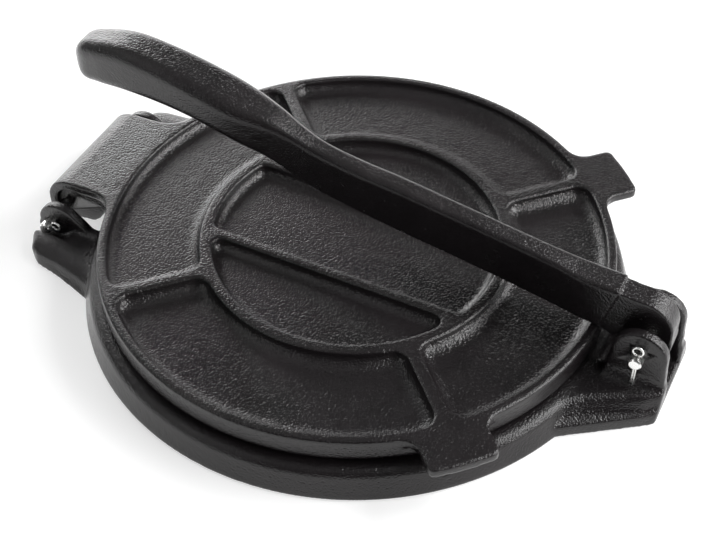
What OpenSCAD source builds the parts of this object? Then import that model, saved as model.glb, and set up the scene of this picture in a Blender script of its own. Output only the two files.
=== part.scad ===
// Cast iron tortilla press, in millimetres.
// The origin is on the table under the middle of the round plates.
// The plate hinge is at +Y, the lever's pin at -Y, and the near side of the press is at -X.

/* [Upper plate] */
// Radius of the upper plate
plate_r = 101.5; // [92:0.5:127]
// Thickness of the upper plate, from its pressing face to its top
plate_t = 11.6; // [10:0.2:15]
// Depth of the pockets in its top
pocket_depth = 4.6; // [2:0.2:6]
// Width of the rim outside the outer pockets
rim_w = 3.7; // [3:0.1:7]
// Radius of the inner pockets
hub_r = 57; // [50:0.5:62]
// Width of the round rib between the inner and the outer pockets
round_rib_w = 4.6; // [3:0.1:8]
// Width of the middle pocket
mid_pocket_w = 41.2; // [30:0.2:50]
// Width of the two straight ribs beside the middle pocket
straight_rib_w = 4.1; // [3:0.1:8]
// Width of the four radial ribs
spoke_w = 5; // [3:0.1:9]
// Angle between the front radial ribs and the lever
spoke_angle = 45; // [38:1:50]
// Corner radius of the outer pockets
outer_corner_r = 6; // [3:0.5:8]
// Corner radius of the inner pockets
inner_corner_r = 4; // [2:0.5:6]
// How deep the pressing face's edge is cut back under the rim
rim_chamfer = 1.7; // [1:0.1:3]

/* [Lifting tabs] */
// Width of each tab
tab_w = 26; // [18:0.5:32]
// How far a tab reaches past the rim
tab_reach = 14.9; // [8:0.1:20]
// Thickness of a tab
tab_t = 4; // [3:0.1:6]
// Radius of the fillets at a tab's root
tab_fillet_r = 7; // [4:0.5:10]

/* [Base] */
// How far the base reaches past the upper plate, at the table
base_lip = 7.5; // [5:0.5:12]
// Height of the base's pressing face
base_h = 12.4; // [11.6:0.2:16]
// How far the base's wall leans in
wall_lean = 2.5; // [1:0.1:3]
// Radius of the rounded shoulder on the base's edge
shoulder_r = 4; // [2:0.1:4.5]
// Gap left between the two pressing faces
face_gap = 0.4; // [0.3:0.1:1.5]
// Depth of the recess under the base
recess_depth = 6.2; // [3:0.1:6.8]
// Width of the ring that the base stands on
foot_w = 12; // [8:0.5:20]
// Width of the ribs across the recess
foot_rib_w = 6; // [4:0.5:10]
// Radius of the pad in the middle of the recess
foot_pad_r = 16; // [10:0.5:25]

/* [Plate hinge] */
// Distance from the upper plate's rim to the hinge pin
hinge_reach = 22.9; // [21:0.1:28]
// Height of the hinge pin above the table
hinge_z = 8; // [7.8:0.1:8.6]
// Width of the upper plate's hinge block
block_w = 49.8; // [40:0.2:56]
// Radius of the block's rolled back
roll_r = 12.2; // [11.5:0.1:14]
// Thickness of the block's skin
skin_t = 4; // [3:0.1:4.2]
// Width of the block's two end lugs
lug_w = 6; // [4:0.1:9]
// Radius of a lug round the hinge pin
lug_r = 7; // [6.6:0.1:7.2]
// Radius of the fillets where the block leaves the plate
block_fillet_r = 12.5; // [8:0.5:15]
// Space between the block and each base ear
ear_space = 5.6; // [5:0.1:7]
// Thickness of a base ear
ear_t = 4; // [3.5:0.1:6]
// Height of a base ear's rounded top
ear_h = 18.2; // [17:0.1:20]
// How far an arm's foot reaches out past its ear
arm_foot = 17; // [14:0.5:22]
// Height of an arm's foot
arm_h = 8; // [6.5:0.1:9]

/* [Lever hinge] */
// Distance from the upper plate's rim to the lever pin
clevis_reach = 17.7; // [16.5:0.1:22]
// Height of the lever pin above the table
lever_pin_z = 25.7; // [25:0.1:27]
// Width of the slot between the clevis ears
slot_w = 17.2; // [13:0.2:20]
// Height of the slot's floor
slot_floor = 5; // [4:0.5:8]
// Thickness of a clevis ear
clevis_ear_t = 4.4; // [3.5:0.1:6]
// Radius of a clevis ear round the lever pin
clevis_ear_r = 10.4; // [8:0.1:11]
// How far the front foot reaches out past a clevis ear, at the very front
wing_foot = 6.9; // [5:0.1:10]
// Angle at which the front foot spreads towards the disc
wing_spread = 34.6; // [30:0.1:38]
// Height of the front foot's lower step
wing_step_h = 5.5; // [4:0.1:7]

/* [Lever] */
// Distance from the lever pin to the crank
arm_len = 135.4; // [125:0.5:165]
// Length of the crank and the grip
grip_len = 104.3; // [90:0.5:125]
// How far the arm's underside rises between the heel and the crank
arm_rise = 19.8; // [12:0.1:26]
// How far the grip's underside rises above the arm's
grip_rise = 21.9; // [14:0.1:30]
// Depth of the arm
arm_depth = 21.2; // [16:0.1:26]
// Width of the arm
arm_w = 8.8; // [7:0.1:12]
// Width of the heel that presses on the plate
heel_w = 11.2; // [9:0.1:12]
// Depth of the grip
grip_depth = 19.4; // [15:0.1:24]
// Width of the grip
grip_w = 19.8; // [14:0.1:26]
// Width of the tang in the clevis
tang_w = 9.4; // [7:0.1:11]
// Radius of the tang's rounded front
tang_r = 12.1; // [10:0.1:13]
// Radius of the knuckle round the lever pin
knuckle_r = 9.6; // [8:0.1:10.5]
// Gap between the heel and the upper plate
heel_gap = 0.3; // [0.2:0.1:1]
// Rounding of the arm's long edges
arm_round = 2.6; // [1:0.1:3.4]
// Rounding of the grip's long edges
grip_round = 5; // [3:0.1:6.5]

/* [Pins] */
// Diameter of both steel pins
pin_d = 5; // [4.4:0.1:5.6]
// How far the hinge pin stands out past its ears
hinge_pin_end = 4.6; // [4.2:0.1:6]
// How far the lever pin stands out past its ears
lever_pin_end = 4.8; // [4.2:0.1:6]
// Clearance round a pin in the ears
ear_clear = 0.05; // [0.03:0.01:0.1]
// Clearance round a pin in the moving part
turn_clear = 0.08; // [0.05:0.01:0.1]
// Diameter of one cotter leg
leg_d = 0.9; // [0.7:0.05:1]
// Radius of a cotter's eye
eye_r = 1.9; // [1.5:0.1:2.2]
// How far the lever cotters' legs hang below the pin
lever_leg = 12; // [6:0.5:12.5]
// How far the hinge cotters' legs pass the middle of the pin
hinge_leg = 3.6; // [3.2:0.1:5]

/* [Hidden] */
$fn = 96;
over = 1;
chamfer = 0.5;
plate_z = base_h + face_gap;
plate_top = plate_z + plate_t;
base_r = plate_r + base_lip;
shoulder_edge_r = base_r - wall_lean;
hinge_y = plate_r + hinge_reach;
roll_y = hinge_y + lug_r - roll_r;
roll_z = plate_top - roll_r;
ear_in = block_w / 2 + ear_space;
ear_out = ear_in + ear_t;
ear_back = hinge_y + lug_r - 1.2;
ear_top_r = 10.8;
ear_slope = 125;
lever_pin_y = -(plate_r + clevis_reach);
clevis_in = slot_w / 2;
clevis_out = clevis_in + clevis_ear_t;
front_y = lever_pin_y - clevis_ear_r - 1.8;
wing_back = 4 - plate_r;
heel_z = plate_top + heel_gap;
heel_run = clevis_reach + 2;
heel_y = lever_pin_y + heel_run;
tang_y = lever_pin_y - knuckle_r + 0.5 + tang_r;
tang_z = heel_z + arm_depth - 2.2 - tang_r;
arm_run = arm_len - heel_run;
bore_r = pin_d / 2 + turn_clear;
ear_bore_r = pin_d / 2 + ear_clear;
leg_shift = leg_d / 2 - 0.03;
cotter_r = leg_shift + leg_d / 2;
cotter_hole_r = cotter_r + 0.1;
cotter_stand = 2.4;
valley_z = 3;
root_h = 7;
valley_w = hinge_pin_end + 0.8;
valley_slope = 6.2;
arm_out = ear_out + arm_foot;
arm_full_z = 4.4;
tab_corner_r = 2.5;
rim_r = 0.8;
crank_z = heel_z + arm_rise;
flare = grip_w - arm_w;
// The hinge cotters lean forward, because the foot leaves no room for a leg straight below the pin
hinge_cotter_tilt = 70;
iron = "#2b2b2d";
iron_light = "#38383b";
steel = "#c9ccd0";

// Mirrored copies on both sides of the press
module both_sides() {
    children();
    mirror([1, 0, 0]) children();
}

// A flat shape drawn in Y and Z, given a width along X
module side_extrude(width) {
    translate([-width / 2, 0, 0])
        rotate([90, 0, 90])
            linear_extrude(width) children();
}

// A straight bore or rod along X
module along_x(r, width) {
    translate([-width / 2, 0, 0])
        rotate([0, 90, 0])
            cylinder(r = r, h = width);
}

// A closed solid through rings that have equally many points
module loft(rings) {
    n = len(rings[0]);
    last = len(rings) - 1;
    points = [for (ring = rings) for (p = ring) p];
    start_cap = [for (j = [0 : n - 1]) j];
    end_cap = [for (j = [n - 1 : -1 : 0]) last * n + j];
    sides = [for (i = [0 : last - 1]) for (j = [0 : n - 1])
        for (half = [0, 1])
            half == 0
                ? [i * n + j, (i + 1) * n + (j + 1) % n, i * n + (j + 1) % n]
                : [i * n + j, (i + 1) * n + j, (i + 1) * n + (j + 1) % n]];
    polyhedron(points, concat([start_cap], sides, [end_cap]), convexity = 6);
}

// An outline at one height
function raise(outline, z) = [for (p = outline) [p[0], p[1], z]];
// An outline part of the way between two others
function between(a, b, share) = [for (i = [0 : len(a) - 1]) a[i] + (b[i] - a[i]) * share];
// An outline with its mirror image added, so that it runs all the way round
function whole(half) = concat(half, [for (i = [len(half) - 1 : -1 : 0]) [-half[i][0], half[i][1]]]);

// A fillet between a straight side at x = half_w and a circle of radius r about the origin
module root_fillet(half_w, r, fillet) {
    centre = [half_w + fillet, sqrt(pow(r + fillet, 2) - pow(half_w + fillet, 2))];
    touch = centre * r / (r + fillet);
    difference() {
        polygon([[half_w - over, centre[1]], centre, touch, touch * 0.97, [half_w - over, touch[1] * 0.97]]);
        translate(centre) circle(fillet);
    }
}

// Points along an arc
function arc(centre, r, from, to, steps) =
    [for (k = [0 : steps]) centre + polar(r, from + (to - from) * k / steps)];
function polar(r, angle) = [r * cos(angle), r * sin(angle)];

// A pocket between two radii, whose sides run beside radial ribs, with rounded corners
module ring_pocket(r_in, r_out, from, to, half_rib, corner) {
    a_in = asin((half_rib + corner) / (r_in + corner));
    a_out = asin((half_rib + corner) / (r_out - corner));
    polygon(concat(
        arc(polar(r_out - corner, from + a_out), corner, from - 90, from + a_out, 5),
        arc([0, 0], r_out, from + a_out + 2, to - a_out - 2, 22),
        arc(polar(r_out - corner, to - a_out), corner, to - a_out, to + 90, 5),
        arc(polar(r_in + corner, to - a_in), corner, to + 90, to - a_in + 180, 5),
        arc([0, 0], r_in, to - a_in - 2, from + a_in + 2, 18),
        arc(polar(r_in + corner, from + a_in), corner, from + a_in + 180, from + 270, 5)));
}

// Half of a round pocket, cut straight at x = x_in, with rounded corners
module d_pocket(x_in, r_out, corner) {
    cx = x_in + corner;
    cy = sqrt(pow(r_out - corner, 2) - pow(cx, 2));
    a = atan2(cy, cx);
    polygon(concat(
        arc([cx, -cy], corner, 180, 360 - a, 6),
        arc([0, 0], r_out, 2 - a, a - 2, 24),
        arc([cx, cy], corner, a, 180, 6)));
}

// The pocket between the two straight ribs
module middle_pocket(half_w, r_out, corner) {
    cx = half_w - corner;
    cy = sqrt(pow(r_out - corner, 2) - pow(cx, 2));
    a = atan2(cy, cx);
    polygon(concat(
        arc([cx, cy], corner, 0, a, 5),
        arc([0, 0], r_out, a + 2, 178 - a, 9),
        arc([-cx, cy], corner, 180 - a, 180, 5),
        arc([-cx, -cy], corner, 180, 180 + a, 5),
        arc([0, 0], r_out, 182 + a, 358 - a, 9),
        arc([cx, -cy], corner, 360 - a, 360, 5)));
}

module pockets() {
    outer_in = hub_r + round_rib_w;
    outer_out = plate_r - rim_w;
    front = -90 + spoke_angle;
    sectors = [[front, -front], [-front, 180 + front],
               [180 + front, 180 - front], [180 - front, 360 + front]];
    for (s = sectors)
        ring_pocket(outer_in, outer_out, s[0], s[1], spoke_w / 2, outer_corner_r);
    middle_pocket(mid_pocket_w / 2, hub_r, inner_corner_r);
    both_sides() d_pocket(mid_pocket_w / 2 + straight_rib_w, hub_r, inner_corner_r);
}

// One lifting tab, drawn along +Y
module tab_outline() {
    r = plate_r + tab_reach;
    cx = tab_w / 2 - tab_corner_r;
    cy = sqrt(pow(r - tab_corner_r, 2) - pow(cx, 2));
    edge_x = cx * r / (r - tab_corner_r);
    for (s = [-1, 1]) translate([s * cx, cy]) circle(tab_corner_r);
    translate([-tab_w / 2, plate_r * 0.9]) square([tab_w, cy - plate_r * 0.9]);
    intersection() {
        circle(r);
        polygon([[-cx, cy - over], [-edge_x, r + over], [edge_x, r + over], [cx, cy - over]]);
    }
    both_sides() root_fillet(tab_w / 2, plate_r, tab_fillet_r);
}

module disc() {
    rotate_extrude($fn = 240)
        union() {
            polygon([[0, plate_z], [plate_r - 2 * rim_chamfer, plate_z], [plate_r, plate_z + rim_chamfer],
                     [plate_r, plate_top - rim_r], [plate_r - rim_r, plate_top], [0, plate_top]]);
            intersection() {
                translate([plate_r - rim_r, plate_top - rim_r]) circle(rim_r);
                translate([plate_r - rim_r, plate_top - rim_r]) square(rim_r);
            }
        }
}

// The block's side view: a flat top that rolls down at the back
module block_side() {
    front = plate_r - 12;
    translate([front, plate_top - skin_t]) square([roll_y - front, skin_t]);
    difference() {
        intersection() {
            translate([roll_y, roll_z]) circle(roll_r);
            translate([roll_y, roll_z]) square(roll_r + over);
        }
        translate([roll_y, roll_z]) circle(roll_r - skin_t);
    }
    translate([roll_y + roll_r - skin_t, hinge_z - 3]) square([skin_t, roll_z - hinge_z + 3]);
}

// The end lugs' side view, which is closed from the plate's rim to the pin
module lug_side() {
    intersection() {
        translate([roll_y, roll_z]) circle(roll_r);
        translate([roll_y, roll_z]) square(roll_r + over);
    }
    translate([hinge_y, hinge_z]) circle(lug_r);
    front = plate_r - 3;
    polygon([[front, plate_z + 2 * rim_chamfer], [front, plate_top], [roll_y, plate_top],
             [roll_y + roll_r, roll_z], [hinge_y + lug_r, hinge_z], [hinge_y, hinge_z],
             [hinge_y - 3, hinge_z - lug_r + 0.8], [hinge_y - lug_r - 5.4, hinge_z - lug_r + 2.1],
             [plate_r + 7.7, hinge_z - 2.6], [plate_r + 6, base_h - 4.5],
             [plate_r + 4.2, base_h - 2.1], [plate_r + 1.7, base_h + 0.6]]);
}

// The block from above, with a fillet on each side where it leaves the disc
module block_plan() {
    translate([-block_w / 2, plate_r * 0.85]) square([block_w, hinge_y + lug_r + over - plate_r * 0.85]);
    both_sides() root_fillet(block_w / 2, plate_r, block_fillet_r);
}

module upper_plate() {
    color(iron_light)
        difference() {
            union() {
                disc();
                for (s = [-1, 1])
                    rotate([0, 0, 180 + s * spoke_angle])
                        translate([0, 0, plate_top - tab_t])
                            linear_extrude(tab_t) tab_outline();
                intersection() {
                    side_extrude(block_w + 3 * block_fillet_r) block_side();
                    translate([0, 0, -over]) linear_extrude(plate_top + 2 * over) block_plan();
                }
                both_sides()
                    translate([block_w / 2 - lug_w / 2, 0, 0])
                        side_extrude(lug_w) lug_side();
            }
            translate([0, 0, plate_top - pocket_depth])
                linear_extrude(pocket_depth + over) pockets();
            translate([0, hinge_y, hinge_z]) along_x(bore_r, block_w + 2 * over);
        }
}

// The front foot's places along Y, as shares of its length, and how much of each inset falls there
wing_steps = [[0, 0.45], [0.16, 0.55], [0.36, 0.79], [0.57, 0.94], [0.75, 1], [0.9, 0.9], [1, 0.73]];

// Half of the front foot's outline, drawn in from its line on the table and ending inside the disc
function wing(inset) =
    [for (s = wing_steps)
        let (run = s[0] * (wing_back - front_y), draft = (1 - s[0]) * 0.07)
        [clevis_out + wing_foot + run * tan(wing_spread) - inset * s[1], front_y + run + draft * inset]];

// The front foot rises in a step, a ledge and an upper tier, and its concave root carries both clevis ears
module front_wing() {
    ear_front = lever_pin_y - clevis_ear_r;
    ear_rear = lever_pin_y + clevis_ear_r;
    ledge_h = base_h - 0.4;
    root = [[clevis_out + 1.2, ear_front - 0.9], [clevis_out + 3.6, ear_front + 3.6],
            [clevis_out + 4.4, lever_pin_y], [clevis_out + 4.5, ear_rear - 4.2],
            [clevis_out + 4.2, ear_rear + 1.8], [clevis_out + 1, ear_rear + 3.4],
            [clevis_in - 3, ear_rear + 4]];
    neck = [[clevis_out - 0.8, ear_front + 0.4], [clevis_out - 0.45, ear_front + 3.6],
            [clevis_out - 0.3, lever_pin_y], [clevis_out - 0.45, ear_rear - 4.2],
            [clevis_out - 0.7, ear_rear - 0.6], [clevis_out - 1.2, ear_rear],
            [clevis_in - 3, ear_rear + 0.3]];
    step = [[0.4, -over], [0.4, 0.2], [0.9, 0.91 * wing_step_h], [1.4, wing_step_h]];
    tier = [[3.3, 0.06], [4.9, 0.18], [6.4, 0.45], [7.7, 0.66], [9.6, 0.91], [12, 1]];
    low = concat(step, [for (s = tier) [s[0], wing_step_h + s[1] * (ledge_h - wing_step_h)]]);
    high = [for (a = [0 : 22.5 : 90]) [between(root, neck, sin(a)), ledge_h + 0.1 + root_h * (1 - cos(a))]];
    loft(concat([for (s = low) raise(whole(wing(s[0])), s[1])],
                [for (ring = high) raise(whole(ring[0]), ring[1])]));
}

module clevis_side() {
    translate([lever_pin_y, lever_pin_z]) circle(clevis_ear_r);
    low = 3;
    polygon([[lever_pin_y - clevis_ear_r, lever_pin_z], [lever_pin_y - clevis_ear_r - 0.6, base_h + 3.6],
             [front_y + 0.3, low], [lever_pin_y + clevis_ear_r + 1.8, low],
             [lever_pin_y + clevis_ear_r + 1, base_h + 0.6], [lever_pin_y + clevis_ear_r, lever_pin_z]]);
}

// The right arm from above, at the table, at its fullest and along its crest
arm_foot_line = [
    [ear_in + 1, plate_r - 6.5], [arm_out + 8.2, plate_r - 11.5], [arm_out + 6.2, plate_r - 5.4],
    [arm_out + 4.7, plate_r - 1.1], [arm_out + 1.6, plate_r + 9.6], [arm_out - 0.3, ear_back - 9.6],
    [arm_out - 1.9, ear_back - 7.2], [(ear_out + arm_out) / 2 - 1, ear_back - 3.6],
    [ear_out, ear_back - 0.6], [ear_in + 1, ear_back - 0.8]];
arm_full_line = [
    [ear_in + 1, plate_r - 6.5], [arm_out + 6.7, plate_r - 12.5], [arm_out + 3.9, plate_r - 6.5],
    [arm_out + 2.3, plate_r - 1.5], [arm_out - 0.4, plate_r + 9.5], [arm_out - 1.4, ear_back - 9.8],
    [arm_out - 3.1, ear_back - 6.2], [(ear_out + arm_out) / 2 - 1, ear_back - 2.6],
    [ear_out, ear_back - 0.2], [ear_in + 1, ear_back - 0.4]];
arm_crest_line = [
    [ear_in + 1, plate_r - 6.5], [ear_out + 15.5, plate_r - 11.5], [ear_out + 11.5, plate_r - 6.5],
    [ear_out + 9.1, plate_r - 2], [ear_out + 6.7, plate_r + 8.5], [ear_out + 7.5, ear_back - 11.2],
    [ear_out + 7.1, ear_back - 6.8], [ear_out + 4.1, ear_back - 3.4],
    [ear_out, ear_back - 1], [ear_in + 1, ear_back - 1.2]];

module rear_arm() {
    foot = [[0, -over], [0, 0.2], [0.6, arm_full_z / 2], [1, arm_full_z]];
    flank = [for (a = [22.5 : 22.5 : 90]) [1 - cos(a), arm_full_z + (arm_h - 0.1 - arm_full_z) * sin(a)]];
    difference() {
        loft(concat([for (s = foot) raise(between(arm_foot_line, arm_full_line, s[0]), s[1])],
                    [for (s = flank) raise(between(arm_full_line, arm_crest_line, s[0]), s[1])],
                    [raise(arm_crest_line, arm_h + over)]));
        translate([ear_in, plate_r - 20, arm_h]) cube([arm_foot + 20, hinge_reach + 30, 2 * over]);
        translate([ear_out + valley_w / 2 - over / 2, 0, 0]) side_extrude(valley_w + over) valley_side();
    }
    translate([(ear_in + ear_out) / 2, 0, 0])
        side_extrude(ear_t) rear_ear_side();
}

// The valley beside an ear, which leaves room for the pin's end and its cotter
module valley_side() {
    front = hinge_y - lug_r + 2.1;
    back = hinge_y + 20;
    polygon([[front - valley_slope, arm_h + over], [front, valley_z],
             [back, valley_z - 0.7], [back, arm_h + 3 * over], [front - valley_slope, arm_h + 3 * over]]);
}

module rear_ear_side() {
    arc_y = ear_back - ear_top_r;
    arc_z = ear_h - ear_top_r;
    intersection() {
        translate([arc_y, arc_z]) circle(ear_top_r);
        translate([arc_y - 20, 0]) square([40, 40]);
    }
    polygon([[arc_y, -over], [ear_back, -over], [ear_back, arc_z], [arc_y, arc_z + 1]]);
    touch = [arc_y + ear_top_r * cos(ear_slope), arc_z + ear_top_r * sin(ear_slope)];
    polygon([touch, [plate_r + 4, base_h - 3], [plate_r - 4, base_h - 3.4],
             [plate_r - 4, -over], [arc_y, -over], [arc_y, arc_z]]);
}

module base_disc() {
    top_r = shoulder_edge_r - shoulder_r;
    rotate_extrude($fn = 240)
        union() {
            polygon([[0, recess_depth], [base_r - foot_w, recess_depth], [base_r - foot_w + 1, 0],
                     [base_r - foot_w + 1, -over], [base_r, -over], [base_r, 0],
                     [shoulder_edge_r, base_h - shoulder_r], [top_r, base_h - shoulder_r],
                     [top_r, base_h], [0, base_h]]);
            intersection() {
                translate([top_r, base_h - shoulder_r]) circle(shoulder_r);
                translate([top_r, base_h - shoulder_r]) square(shoulder_r + over);
            }
        }
    translate([0, 0, -over]) cylinder(r = foot_pad_r, h = recess_depth + 2 * over);
    for (a = [0, 60, 120])
        rotate([0, 0, a])
            translate([-base_r + foot_w / 2, -foot_rib_w / 2, -over])
                cube([2 * base_r - foot_w, foot_rib_w, recess_depth + 2 * over]);
}

module base() {
    color(iron)
        difference() {
            union() {
                base_disc();
                front_wing();
                both_sides() rear_arm();
                both_sides()
                    translate([(clevis_in + clevis_out) / 2, 0, 0])
                        side_extrude(clevis_ear_t) clevis_side();
            }
            translate([0, 0, -2 * over]) cylinder(r = 2 * base_r, h = 2 * over);
            slot_back = -plate_r - 3;
            translate([-clevis_in, front_y - over, slot_floor])
                cube([slot_w, slot_back - front_y + over, lever_pin_z + clevis_ear_r]);
            translate([0, lever_pin_y, lever_pin_z]) along_x(ear_bore_r, 2 * clevis_out + 2 * over);
            translate([0, hinge_y, hinge_z]) along_x(ear_bore_r, 2 * ear_out + 2 * over);
        }
}

// Distance from the pin, height of the underside, depth, width, edge rounding and end slant
lever_stations = [
    [heel_run - 1.8, heel_z, arm_depth - 0.4, heel_w, 0.62 * arm_round, 5.4],
    [heel_run + 4, heel_z + 0.8, arm_depth - 0.6, heel_w, 0.7 * arm_round, 0],
    [heel_run + 18, heel_z + 0.13 * arm_rise, arm_depth, (heel_w + arm_w * 3) / 4, 0.77 * arm_round, 0],
    [heel_run + 0.44 * arm_run, heel_z + 0.41 * arm_rise, arm_depth, arm_w, 0.85 * arm_round, 0],
    [heel_run + 0.72 * arm_run, heel_z + 0.667 * arm_rise, arm_depth, arm_w, 0.85 * arm_round, 0],
    [heel_run + 0.86 * arm_run, heel_z + 0.81 * arm_rise, arm_depth - 0.6, arm_w, arm_round, 0],
    [arm_len, crank_z, arm_depth - 0.8, arm_w, arm_round, 0],
    [arm_len + 0.078 * grip_len, crank_z + 0.17 * grip_rise, grip_depth + 0.8, arm_w + 0.1 * flare,
     arm_round, 0],
    [arm_len + 0.156 * grip_len, crank_z + 0.4 * grip_rise, grip_depth - 0.3, arm_w + 0.4 * flare,
     (arm_round + grip_round) / 2, 0],
    [arm_len + 0.311 * grip_len, crank_z + 0.685 * grip_rise, grip_depth - 1.7, grip_w - 0.4, grip_round, 0],
    [arm_len + 0.467 * grip_len, crank_z + 0.895 * grip_rise, grip_depth - 2, grip_w, grip_round, 0],
    [arm_len + 0.62 * grip_len, crank_z + 0.98 * grip_rise, grip_depth - 0.4, grip_w - 1, grip_round, 0],
    [arm_len + 0.777 * grip_len, crank_z + grip_rise, grip_depth + 0.8, grip_w - 1.8, grip_round, 0],
    [arm_len + 0.9 * grip_len, crank_z + 0.95 * grip_rise, grip_depth - 0.2, grip_w - 3.6, grip_round, 0],
    [arm_len + 0.97 * grip_len, crank_z + 0.95 * grip_rise, grip_depth - 3, grip_w - 7, grip_round - 1, 0],
    [arm_len + grip_len, crank_z + 1.06 * grip_rise, grip_depth - 9, grip_w - 12, 3, 0]];

// A smooth station between station i and the next one
function station(i, t) =
    let (s = lever_stations, last = len(s) - 1,
         a = s[max(i - 1, 0)], b = s[i], c = s[min(i + 1, last)], d = s[min(i + 2, last)],
         ab = max(b[0] - a[0], 1), bc = max(c[0] - b[0], 1), cd = max(d[0] - c[0], 1),
         mb = i == 0 ? (c - b) : ((b - a) / ab + (c - b) / bc) / 2 * bc,
         mc = i + 1 == last ? (c - b) : ((c - b) / bc + (d - c) / cd) / 2 * bc)
    b * (2 * t * t * t - 3 * t * t + 1) + mb * (t * t * t - 2 * t * t + t)
    + c * (3 * t * t - 2 * t * t * t) + mc * (t * t * t - t * t);

// One rounded section of the lever
function lever_ring(s) =
    let (half_w = s[3] / 2, depth = s[2], r = min(s[4], half_w - 0.2, depth / 2 - 0.2))
    [for (q = [0 : 3], k = [0 : 3])
        let (a = q * 90 + k * 30,
             cx = (q == 0 || q == 3 ? 1 : -1) * (half_w - r),
             cz = (q < 2 ? depth - r : r),
             x = cx + r * cos(a), z = cz + r * sin(a))
        [-x, lever_pin_y + s[0] - s[5] * z / depth, s[1] + z]];

// The tang's rounded front and its knuckle, closed towards the heel
module tang_side() {
    top_z = heel_z + arm_depth - 1.6;
    translate([lever_pin_y, lever_pin_z]) circle(knuckle_r);
    translate([tang_y, tang_z]) circle(tang_r);
    polygon([[lever_pin_y, lever_pin_z], [tang_y, tang_z], [tang_y, tang_z + tang_r - 0.3],
             [heel_y - 7.5, top_z], [heel_y + 1.5, top_z], [heel_y + 3, heel_z + 2.5], [heel_y, heel_z + 1],
             [lever_pin_y + knuckle_r * cos(40), lever_pin_z - knuckle_r * sin(40)]]);
}

module lever() {
    steps = 3;
    last = len(lever_stations) - 1;
    rings = concat(
        [for (i = [0 : last - 1], k = [0 : steps - 1]) lever_ring(station(i, k / steps))],
        [lever_ring(lever_stations[last])]);
    color(iron_light)
        difference() {
            union() {
                loft(rings);
                side_extrude(tang_w) tang_side();
            }
            translate([0, lever_pin_y, lever_pin_z]) along_x(bore_r, heel_w + 2 * over);
        }
}

// A steel pin along X with a cross hole near each end
module steel_pin(y, z, half_len, ear_face, tilt) {
    color(steel)
        translate([0, y, z])
            difference() {
                union() {
                    along_x(pin_d / 2, 2 * (half_len - chamfer));
                    both_sides()
                        translate([half_len - chamfer, 0, 0])
                            rotate([0, 90, 0])
                                cylinder(r1 = pin_d / 2, r2 = pin_d / 2 - chamfer, h = chamfer);
                }
                both_sides()
                    translate([ear_face + cotter_stand, 0, 0])
                        rotate([tilt, 0, 0])
                            cylinder(r = cotter_hole_r, h = pin_d + 2 * over, center = true);
            }
}

module hinge_pin() {
    steel_pin(hinge_y, hinge_z, ear_out + hinge_pin_end, ear_out, hinge_cotter_tilt);
}

module lever_pin() {
    steel_pin(lever_pin_y, lever_pin_z, clevis_out + lever_pin_end, clevis_out, 0);
}

// A split cotter with its eye up and its two legs down
module cotter(leg, longer) {
    neck = pin_d / 2 + 0.1;
    translate([0, leg_shift, -leg]) cylinder(d = leg_d, h = leg + neck + 0.5);
    translate([0, -leg_shift, -leg - longer]) cylinder(d = leg_d, h = leg + longer + neck + 0.5);
    translate([0, 0, neck + eye_r + leg_d / 2])
        rotate([90, 0, 90])
            rotate_extrude()
                translate([eye_r, 0]) circle(d = leg_d);
}

module hinge_cotter(side) {
    color(steel)
        translate([side * (ear_out + cotter_stand), hinge_y, hinge_z])
            rotate([hinge_cotter_tilt, 0, 0])
                cotter(hinge_leg, 0);
}

module lever_cotter(side) {
    color(steel)
        translate([side * (clevis_out + cotter_stand), lever_pin_y, lever_pin_z])
            cotter(lever_leg - 1, 1);
}

module hinge_cotter_left() {
    hinge_cotter(-1);
}

module hinge_cotter_right() {
    hinge_cotter(1);
}

module lever_cotter_left() {
    lever_cotter(-1);
}

module lever_cotter_right() {
    lever_cotter(1);
}

base();
upper_plate();
lever();
hinge_pin();
lever_pin();
hinge_cotter_left();
hinge_cotter_right();
lever_cotter_left();
lever_cotter_right();
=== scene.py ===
"""Dresses the cast iron tortilla press. Shapes are drawn in millimetres and scaled to metres at the end."""
import math

import bmesh
import bpy
from mathutils import Matrix, Vector


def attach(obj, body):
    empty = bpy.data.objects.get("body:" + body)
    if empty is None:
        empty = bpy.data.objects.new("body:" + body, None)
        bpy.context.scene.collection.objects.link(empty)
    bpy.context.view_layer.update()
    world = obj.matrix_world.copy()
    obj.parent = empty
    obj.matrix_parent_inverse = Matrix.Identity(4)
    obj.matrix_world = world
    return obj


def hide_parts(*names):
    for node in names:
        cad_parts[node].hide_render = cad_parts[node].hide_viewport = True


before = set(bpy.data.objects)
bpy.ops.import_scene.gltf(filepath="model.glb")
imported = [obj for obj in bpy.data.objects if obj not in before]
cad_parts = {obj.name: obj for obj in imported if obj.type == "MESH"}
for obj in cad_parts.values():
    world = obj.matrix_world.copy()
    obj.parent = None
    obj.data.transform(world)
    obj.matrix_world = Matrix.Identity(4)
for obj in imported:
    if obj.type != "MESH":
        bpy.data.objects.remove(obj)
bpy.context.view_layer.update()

MM = 0.001
OVER = 5.0  # how far a cutting tool passes the surface it cuts
TURN_STEPS = 256

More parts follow.
